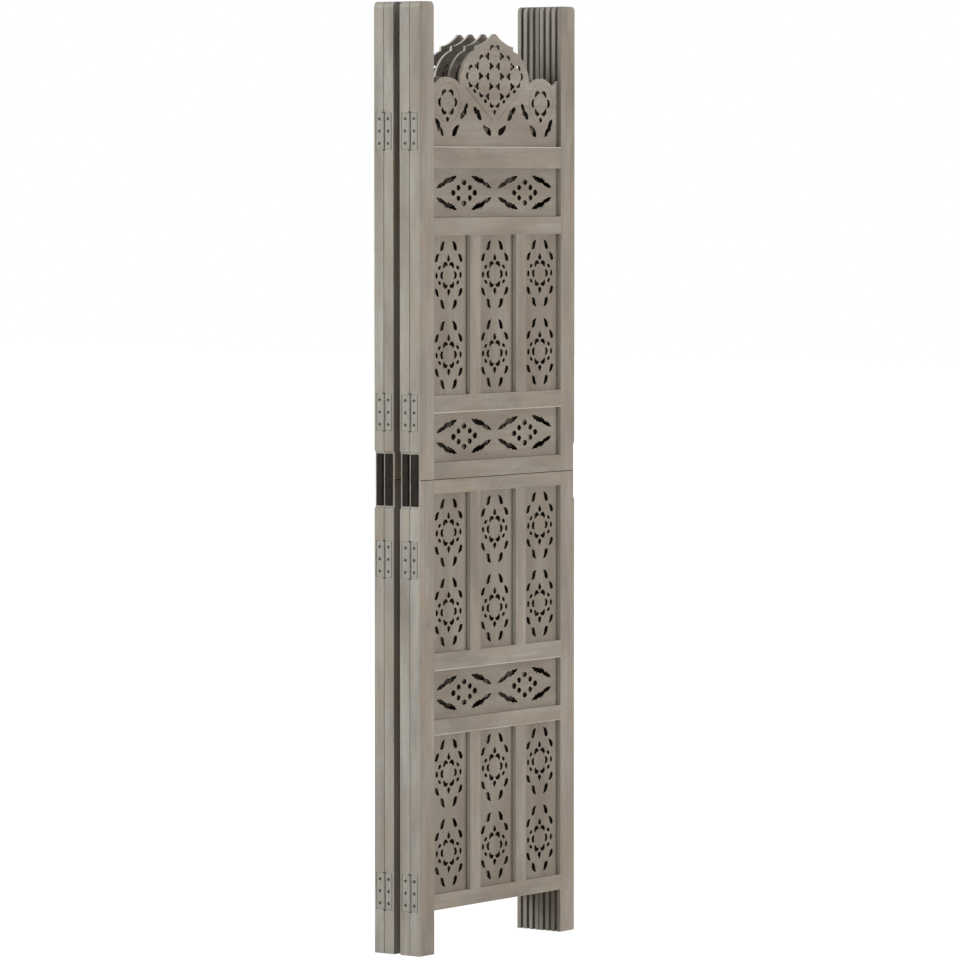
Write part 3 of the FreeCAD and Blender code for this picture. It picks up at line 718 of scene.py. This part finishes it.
def rails():
    """Rails, with the long edges of both faces eased, some of them more and given a painted
    highlight.
    """
    def long_edge(edge):
        return on_face(edge) and runs(edge, ACROSS)

    def pale(edge):
        height = edge.verts[0].co.z
        return long_edge(edge) and any(abs(height - arris) < ON_PLANE for arris in PALE_ARRISES)

    for kind in ("upper_rails", "lower_rails"):
        piece = front_panel_copy(kind, LEVEL_WOOD, RUBBED_LEVEL, SEAM_SHADOW_WOOD, PAINTED_HIGHLIGHT_LEVEL)
        # The listed arrises take a painted highlight
        ease(piece, pale, PALE_EASE, FRAME_EASE_STEPS, MEMBER_PAINTED_LIGHT)
        ease(piece, long_edge, FRAME_EASE, FRAME_EASE_STEPS, MEMBER_EDGE)
        shadow_seam(piece)
        hang_in_all_panels(piece, kind)


def mullions():
    """Mullions, with the long edges of both faces eased and painted light on their sides."""
    def long_edge(edge):
        return on_face(edge) and runs(edge, UP)

    piece = front_panel_copy("mullions", UPRIGHT_WOOD, RUBBED_UPRIGHT, PAINTED_LIGHT_WALL)
    ease(piece, long_edge, FRAME_EASE, FRAME_EASE_STEPS, MULLION_EDGE)
    # The mullions' sides take painted light
    for face in piece.data.polygons:
        if abs(face.normal.x) > PARALLEL:
            face.material_index = MULLION_PAINTED_LIGHT
    hang_in_all_panels(piece, "mullions")


def shade_rebate(piece, inner, outer):
    """Paints a near-black painted shadow on a strip beside a joining plate, between two distances
    from the middle plane.
    """
    activate(piece)
    bpy.ops.object.mode_set(mode="EDIT")
    for point, way in (
            ((0, inner, 0), THROUGH),
            ((0, outer, 0), THROUGH),
            ((0, 0, MEETING_HEIGHT - PLATE_HALF_LENGTH), UP),
            ((0, 0, MEETING_HEIGHT + PLATE_HALF_LENGTH), UP)):
        bpy.ops.mesh.select_all(action="SELECT")
        bpy.ops.mesh.bisect(plane_co=point, plane_no=way)
    bpy.ops.object.mode_set(mode="OBJECT")
    low, high = sorted((inner, outer))
    for face in piece.data.polygons:
        beside_plate = abs(face.center.z - MEETING_HEIGHT) < PLATE_HALF_LENGTH
        outside = abs(face.center.x) > REBATE_FLOOR - FRAME_EASE
        if beside_plate and outside and low < face.center.y < high:
            face.material_index = MEMBER_PAINTED_SHADOW


def light_opening_walls(piece):
    """Gives the inner wall of a stile, between the lowest rail and the crest, its painted light."""
    activate(piece)
    bpy.ops.object.mode_set(mode="EDIT")
    for height in (OPENINGS_FOOT, CREST_FOOT):
        bpy.ops.mesh.select_all(action="SELECT")
        bpy.ops.mesh.bisect(plane_co=(0, 0, height), plane_no=UP)
    bpy.ops.object.mode_set(mode="OBJECT")
    for face in piece.data.polygons:
        inside = abs(abs(face.center.x) - HALF_WIDTH + STILE_WIDTH) < ON_PLANE
        if inside and OPENINGS_FOOT < face.center.z < CREST_FOOT:
            face.material_index = MEMBER_PAINTED_LIGHT


def shadow_strips():
    """Where painted shadow lies beside the joining plates, for the panels and sides that have it.

    It lies on both sides of each hinged joint, but not on the arris of the panel behind.
    """
    strips = {}
    for number, joint in enumerate(frame["joints"], 1):
        side = "left" if joint["pos_m"][0] < 0 else "right"
        strips[number, side] = (PLATE_HALF_WIDTH, HALF_THICKNESS)
        strips[number + 1, side] = (-PLATE_HALF_WIDTH, UNSHADED_ARRIS - HALF_THICKNESS)
    return strips


def stiles():
    """Uprights, with the outlines of both faces and the outer edge of each foot eased."""
    def upright_at(edge, distance):
        return all(abs(abs(vertex.co.x) - distance) < ON_PLANE for vertex in edge.verts)

    def at_shoulder(edge):
        return on_face(edge) and upright_at(edge, HALF_WIDTH - STILE_WIDTH)

    def at_outline(edge):
        at_foot = all(vertex.co.z < ON_PLANE for vertex in edge.verts)
        return on_face(edge) and not at_shoulder(edge) or at_foot and upright_at(edge, HALF_WIDTH)

    materials = (UPRIGHT_WOOD, RUBBED_UPRIGHT, SEAM_SHADOW_WOOD, PAINTED_LIGHT_WALL, PLATE_SHADOW_WOOD)
    strips = shadow_strips()
    for number, place in enumerate(PANELS, 1):
        for half in ("upper", "lower"):
            for side in ("left", "right"):
                node = "panel_%d_%s_%s_stile" % (number, half, side)
                piece = solid_copy(node, node + "_dressed", *materials)
                put(piece, place.inverted())
                ease(piece, at_outline, FRAME_EASE, FRAME_EASE_STEPS, MEMBER_EDGE)
                ease(piece, at_shoulder, SHOULDER_EASE, SHOULDER_EASE_STEPS)
                light_opening_walls(piece)
                shadow_seam(piece)
                # Strips beside the joining plates take a painted shadow
                if (number, side) in strips:
                    shade_rebate(piece, *strips[number, side])
                put(piece, place)
                finish_piece(piece, node, "panel_%d" % number)


def hand_cut(board):
    """Lets the outlines of a board wander a little, as hand-cut ones do."""
    activate(board)
    for scale, reach in WANDERS:
        for way in ("X", "Z"):
            clouds = bpy.data.textures.new("wander_" + way, "CLOUDS")
            clouds.noise_scale = scale
            wander = board.modifiers.new("wander", "DISPLACE")
            wander.texture = clouds
            wander.texture_coords = "LOCAL"
            wander.direction = way
            wander.strength = reach
            bpy.ops.object.modifier_apply(modifier=wander.name)


def hand_cut_and_clean(board):
    """Lets an engraved board wander, and cleans up after its cuts.

    They leave slivers, and points in another order each run, so the points are sorted by place.
    """
    hand_cut(board)
    bpy.ops.object.mode_set(mode="EDIT")
    bpy.ops.mesh.select_all(action="SELECT")
    bpy.ops.mesh.dissolve_degenerate(threshold=SLIVER)
    bpy.ops.mesh.select_all(action="SELECT")
    bpy.ops.mesh.sort_elements(type="CURSOR_DISTANCE", elements={"VERT", "EDGE", "FACE"})
    bpy.ops.object.mode_set(mode="OBJECT")


def fretted(kind, *materials):
    """Boards of one kind: one is chamfered, and then copied to the places of all."""
    boards = loose_parts(front_panel_copy(kind, *materials))
    middles = [sum(corners(board), Vector()) / 2 for board in boards]
    pattern = boards[0]
    for board in boards[1:]:
        bpy.data.objects.remove(board)
    put(pattern, Matrix.Translation(-middles[0]))
    if kind == "frieze_boards":
        shape_holes(pattern)
    chamfer(pattern, FRET_CHAMFER)
    copies = []
    for middle in middles:
        copy = new_piece(kind, pattern.data.copy())
        put(copy, Matrix.Translation(middle))
        copies.append(copy)
    bpy.data.objects.remove(pattern)
    hang_in_all_panels(joined(copies, kind), kind, hand_cut)


def empty_cutter():
    """An empty mesh, open in edit mode, that cuts are added to."""
    cutter = new_piece("cutter", bpy.data.meshes.new("cutter"))
    bpy.ops.object.mode_set(mode="EDIT")
    return cutter


def add_eye(centre):
    """Adds a punched dimple on both faces of a board."""
    for face in (-BOARD_HALF, BOARD_HALF):
        bpy.ops.mesh.primitive_uv_sphere_add(
            segments=EYE_SEGMENTS, ring_count=EYE_RINGS, radius=1,
            location=(centre.x, face, centre.z), scale=(EYE_RADIUS, EYE_DEPTH, EYE_RADIUS))


def add_line(start, end):
    """Adds a straight V-cut on both faces of a board."""
    way = end - start
    for face in (-BOARD_HALF, BOARD_HALF):
        bpy.ops.mesh.primitive_cylinder_add(
            vertices=LINE_SIDES, radius=LINE_DEPTH, depth=way.length,
            location=(start + end) / 2 + Vector((0, face, 0)),
            rotation=(0, math.atan2(way.x, way.z), 0))


def add_ring(centre, radius):
    """Adds a round V-cut on both faces of a board."""
    for face in (-BOARD_HALF, BOARD_HALF):
        bpy.ops.mesh.primitive_torus_add(
            major_radius=radius, minor_radius=LINE_DEPTH,
            major_segments=LOBE_LINE_SEGMENTS, minor_segments=LINE_SIDES,
            location=(centre.x, face, centre.z), rotation=(QUARTER_TURN, 0, 0))


def crest():
    """The crest: chamfered, with a painted highlight on its rim, punched flowers and lobes, and
    V-cut borders.
    """
    piece = front_panel_copy("crest_board", CREST_WOOD, RUBBED_LEVEL, SHADED_HOLE_WALL, PAINTED_HIGHLIGHT_LEVEL)
    chamfer(piece, CREST_CHAMFER)
    # The rim's walls take the painted highlight
    for face in piece.data.polygons:
        if face.material_index == BOARD_FACE and is_wall(face):
            face.material_index = BOARD_RIM
    foot = UP * CREST_FOOT
    cutter = empty_cutter()
    for column in range(-FLOWER_REACH, FLOWER_REACH + 1):
        reach = FLOWER_REACH - abs(column)
        for row in range(-reach, reach + 1, 2):
            rise = foot + UP * (FLOWER_RISE + row * FLOWER_STEP.z)
            add_eye(rise + ACROSS * column * FLOWER_STEP.x)
    for side in (-1, 1):
        mirror = Vector((side, 1, 1))
        add_eye(foot + LOBE_PLACE * mirror)
        add_ring(foot + LOBE_PLACE * mirror, LOBE_LINE_RADIUS)
        add_line(*[foot + point * mirror for point in CREST_LINE])
    bpy.ops.object.mode_set(mode="OBJECT")
    cut(piece, cutter)
    hang_in_all_panels(piece, "crest_board", hand_cut_and_clean)


def sharp(edge):
    """An outside corner of a metal piece."""
    return edge.is_manifold and edge.calc_face_angle_signed() > SHARP


def sharp_and_long(edge):
    """An outside corner of a plate that is long enough to be eased."""
    return sharp(edge) and edge.calc_length() > PLATE_EASE


def cross_screw():
    """One wood screw with a cross recess, its head up at the origin."""
    parts = loose_parts(solid_copy("panel_1_hinge_screws", "screws"))
    screw = parts[0]
    for part in parts[1:]:
        bpy.data.objects.remove(part)
    low, high = corners(screw)
    head = Vector((low.x, (low.y + high.y) / 2, (low.z + high.z) / 2))
    put(screw, Matrix.Rotation(QUARTER_TURN, 4, "Y") @ Matrix.Translation(-head))
    for turn in (0, QUARTER_TURN):
        cutter = empty_cutter()
        bpy.ops.mesh.primitive_cube_add(
            size=1, rotation=(0, 0, turn),
            scale=(RECESS_LENGTH, RECESS_WIDTH, 2 * RECESS_DEPTH))
        mesh = bmesh.from_edit_mesh(cutter.data)
        for vertex in mesh.verts:
            vertex.select_set(vertex.co.z < 0)
        mesh.select_flush_mode()
        bmesh.update_edit_mesh(cutter.data)
        bpy.ops.transform.resize(value=(RECESS_TAPER, RECESS_TAPER, 1))
        bpy.ops.object.mode_set(mode="OBJECT")
        cut(screw, cutter)
    return screw


def screws(kind, screw, material):
    """Screws of one kind in every panel, each turned as the driver left it."""
    for number, place in enumerate(PANELS, 1):
        node = "panel_%d_%s" % (number, kind)
        solids = solid_copy(node, node)
        put(solids, place.inverted())
        copies = []
        for solid in loose_parts(solids):
            low, high = corners(solid)
            side = 1 if low.x > 0 else -1
            outside = high.x if side > 0 else low.x
            head = Vector((outside, (low.y + high.y) / 2, (low.z + high.z) / 2))
            spin = Matrix.Rotation(random.uniform(0, math.pi), 4, "Z")
            lean = Matrix.Rotation(side * QUARTER_TURN, 4, "Y")
            copy = new_piece(node, screw.data.copy())
            put(copy, Matrix.Translation(head) @ lean @ spin)
            bpy.data.objects.remove(solid)
            copies.append(copy)
        piece = joined(copies, node + "_dressed")
        piece.data.materials.append(material)
        put(piece, place)
        finish_piece(piece, node, "panel_%d" % number)


def hardware():
    """Hinge plates, pins, joining plates and all screws."""
    for number in range(1, len(PANELS) + 1):
        for kind, material, slot in (
                ("hinge_plates", HINGE_PAINT, "painted_hinge_steel"),
                ("joining_plates", BLACK_STEEL, "black_joining_steel")):
            node = "panel_%d_%s" % (number, kind)
            piece = solid_copy(node, node + "_dressed", material)
            ease(piece, sharp_and_long, PLATE_EASE, PLATE_EASE_STEPS)
            finish_piece(piece, node, "panel_%d" % number)
    for number in range(1, len(PANELS)):
        node = "hinge_line_%d_pins" % number
        piece = solid_copy(node, node + "_dressed", BROWNED_STEEL)
        ease(piece, sharp, PIN_EASE, PIN_EASE_STEPS)
        finish_piece(piece, node, "panel_%d" % number)
    screw = cross_screw()
    screws("hinge_screws", screw, BROWNED_STEEL)
    screws("joining_screws", screw, BLACK_STEEL)
    bpy.data.objects.remove(screw)


def sees_background(tree):
    """A socket that is 1 for rays that show the background: the camera's, in gloss or in glass."""
    rays = add(tree, "ShaderNodeLightPath")
    shown = rays.outputs["Is Camera Ray"]
    for kind in ("Is Glossy Ray", "Is Transmission Ray"):
        either = add(tree, "ShaderNodeMath", {0: shown, 1: rays.outputs[kind]}, operation="MAXIMUM")
        shown = either.outputs[0]
    return shown


def pale_floor():
    """A pale matt floor that keeps the screen's shadow and shows white farther off."""
    bpy.ops.mesh.primitive_plane_add(size=FLOOR_SIZE)
    floor = bpy.context.object
    floor.name = "floor"
    material = bpy.data.materials.new("pale_studio_floor")
    material.use_nodes = True
    tree = material.node_tree
    shader = tree.nodes["Principled BSDF"]
    shader.inputs["Base Color"].default_value = linear(FLOOR_COLOUR)
    shader.inputs["Roughness"].default_value = FLOOR_ROUGHNESS
    white = add(tree, "ShaderNodeEmission", {"Color": linear(WHITE), "Strength": FLOOR_WHITE})
    place = add(tree, "ShaderNodeTexCoord").outputs["Object"]
    distance = add(tree, "ShaderNodeVectorMath", {0: place}, operation="LENGTH")
    near, far = SHADOW_REACH
    near_share, far_share = WHITE_SHARES
    glow = add(tree, "ShaderNodeMapRange", {
        "Value": distance.outputs["Value"], "From Min": near, "From Max": far,
        "To Min": near_share, "To Max": far_share})
    share = add(tree, "ShaderNodeMath", {
        0: sees_background(tree), 1: glow.outputs["Result"]}, operation="MULTIPLY")
    mixed = add(tree, "ShaderNodeMixShader", {
        0: share.outputs[0], 1: shader.outputs["BSDF"], 2: white.outputs["Emission"]})
    tree.links.new(mixed.outputs["Shader"], tree.nodes["Material Output"].inputs["Surface"])
    floor.data.materials.append(material)


def white_surround():
    """A world that shows white and gives a little light from all sides."""
    world = bpy.data.worlds.new("white_surround")
    world.use_nodes = True
    bpy.context.scene.world = world
    tree = world.node_tree
    strength = add(tree, "ShaderNodeMapRange", {
        "Value": sees_background(tree), "To Min": AMBIENT, "To Max": 1.0})
    tree.links.new(strength.outputs["Result"], tree.nodes["Background"].inputs["Strength"])
    tree.nodes["Background"].inputs["Color"].default_value = linear(WHITE)


def softboxes():
    """Soft key, fill, edge, back and top lights, aimed at the point that the camera looks at."""
    for name, place, width, height, power, colour in SOFTBOXES:
        lamp = bpy.data.lights.new(name, "AREA")
        lamp.shape = "RECTANGLE"
        lamp.size = width
        lamp.size_y = height
        lamp.energy = power
        lamp.color = linear(colour)[:3]
        stand = bpy.data.objects.new(name, lamp)
        bpy.context.scene.collection.objects.link(stand)
        stand.location = place
        stand.rotation_euler = (CAMERA_AIM - place).to_track_quat("-Z", "Y").to_euler()


def photo_camera():
    """A camera at the photograph's place and angle."""
    view = Vector((
        math.cos(CAMERA_FALL) * math.sin(CAMERA_AZIMUTH),
        math.cos(CAMERA_FALL) * math.cos(CAMERA_AZIMUTH),
        -math.sin(CAMERA_FALL)))
    lens = bpy.data.cameras.new("camera")
    lens.sensor_width = SENSOR
    lens.lens = SENSOR * CAMERA_FOCAL_PIXELS / IMAGE_PIXELS
    lens.clip_end = CAMERA_REACH
    camera = bpy.data.objects.new("camera", lens)
    bpy.context.scene.collection.objects.link(camera)
    camera.location = CAMERA_AIM - view * CAMERA_DISTANCE
    camera.rotation_euler = view.to_track_quat("-Z", "Y").to_euler()
    bpy.context.scene.camera = camera


rails()
mullions()
stiles()
fretted("lattice_boards", CARVED_UPRIGHT, RUBBED_UPRIGHT, SHADED_HOLE_WALL)
fretted("frieze_boards", CARVED_LEVEL, RUBBED_LEVEL, SHADED_FEATHER_WALL)
crest()
hardware()
bpy.context.scene.view_settings.view_transform = "Standard"
pale_floor()
white_surround()
softboxes()
photo_camera()
